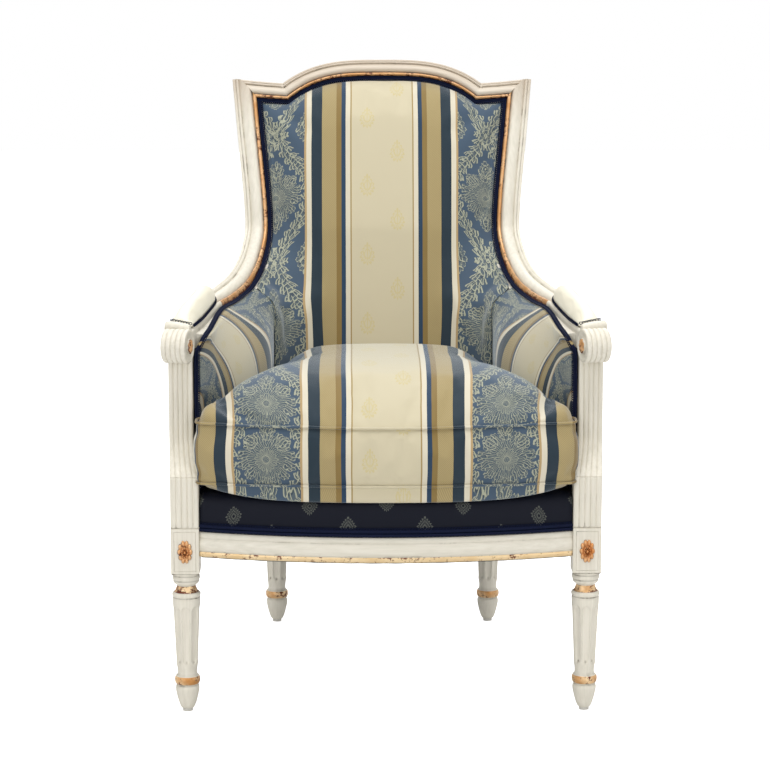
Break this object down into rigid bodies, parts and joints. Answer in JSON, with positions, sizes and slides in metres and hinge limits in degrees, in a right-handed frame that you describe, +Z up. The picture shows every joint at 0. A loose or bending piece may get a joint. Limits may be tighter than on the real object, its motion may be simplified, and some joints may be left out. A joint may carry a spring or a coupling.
{
  "type": "bergere armchair",
  "caption": "Upholstered bergere armchair: painted show-wood frame with reeded posts, fluted legs, padded closed arms, arched crest and a thick loose seat cushion.",
  "frame": {"origin": "on the floor, under the middle of the chair's bounding box", "axes": "+Z up, +X to the right as seen from the front, +Y to the back of the chair"},
  "size_m": [0.7032, 0.7293, 1.0133],
  "materials": {
    "painted_wood": "cream paint, antiqued, with gilt beads",
    "bare_beech": "unfinished",
    "gilt_carving": "gilded and rubbed",
    "striped_damask": "woven stripe and damask, silky",
    "navy_satin": "woven, silky, small sprigs",
    "cream_satin": "woven, silky",
    "navy_cord": "twisted double cord",
    "jute_webbing": "coarse weave",
    "black_cambric": "matt",
    "zinc_steel": "zinc plated",
    "glide_plastic": "matt"
  },
  "bodies": {
    "frame": {"arm_pad_left": "cream_satin", "arm_pad_right": "cream_satin", "arm_piping_left": "navy_cord", "arm_piping_right": "navy_cord", "arm_post_left": "painted_wood", "arm_post_right": "painted_wood", "arm_rail_left": "painted_wood", "arm_rail_right": "painted_wood", "back_piping": "navy_cord", "back_stile_left": "painted_wood", "back_stile_right": "painted_wood", "corner_block_front_left": "bare_beech", "corner_block_front_right": "bare_beech", "corner_block_rear_left": "bare_beech", "corner_block_rear_right": "bare_beech", "corner_screw_front_left": "zinc_steel", "corner_screw_front_right": "zinc_steel", "corner_screw_rear_left": "zinc_steel", "corner_screw_rear_right": "zinc_steel", "crest_rail": "painted_wood", "dust_cover": "black_cambric", "front_leg_left": "painted_wood", "front_leg_right": "painted_wood", "front_piping": "navy_cord", "front_seat_rail": "painted_wood", "glide_front_left": "glide_plastic", "glide_front_right": "glide_plastic", "glide_rear_left": "glide_plastic", "glide_rear_right": "glide_plastic", "inside_arm_pad_left": "striped_damask", "inside_arm_pad_right": "striped_damask", "inside_back_pad": "striped_damask", "lower_back_rail": "bare_beech", "outside_arm_panel_left": "navy_satin", "outside_arm_panel_right": "navy_satin", "outside_back_panel": "navy_satin", "rear_leg_left": "painted_wood", "rear_leg_right": "painted_wood", "rear_seat_rail": "painted_wood", "rosette_left": "gilt_carving", "rosette_right": "gilt_carving", "seat_deck": "navy_satin", "side_seat_rail_left": "painted_wood", "side_seat_rail_right": "painted_wood", "webbing_crosswise_1": "jute_webbing", "webbing_crosswise_2": "jute_webbing", "webbing_crosswise_3": "jute_webbing", "webbing_crosswise_4": "jute_webbing", "webbing_lengthwise_1": "jute_webbing", "webbing_lengthwise_2": "jute_webbing", "webbing_lengthwise_3": "jute_webbing", "webbing_lengthwise_4": "jute_webbing", "webbing_lengthwise_5": "jute_webbing"},
    "cushion": {"seat_cushion": "striped_damask", "cushion_welt_top": "striped_damask", "cushion_welt_bottom": "striped_damask"}
  },
  "joints": [
    {"name": "cushion_lift", "type": "slide", "parent": "frame", "child": "cushion", "axis": [0, 0, 1], "range_m": [0, 0.66]}
  ]
}
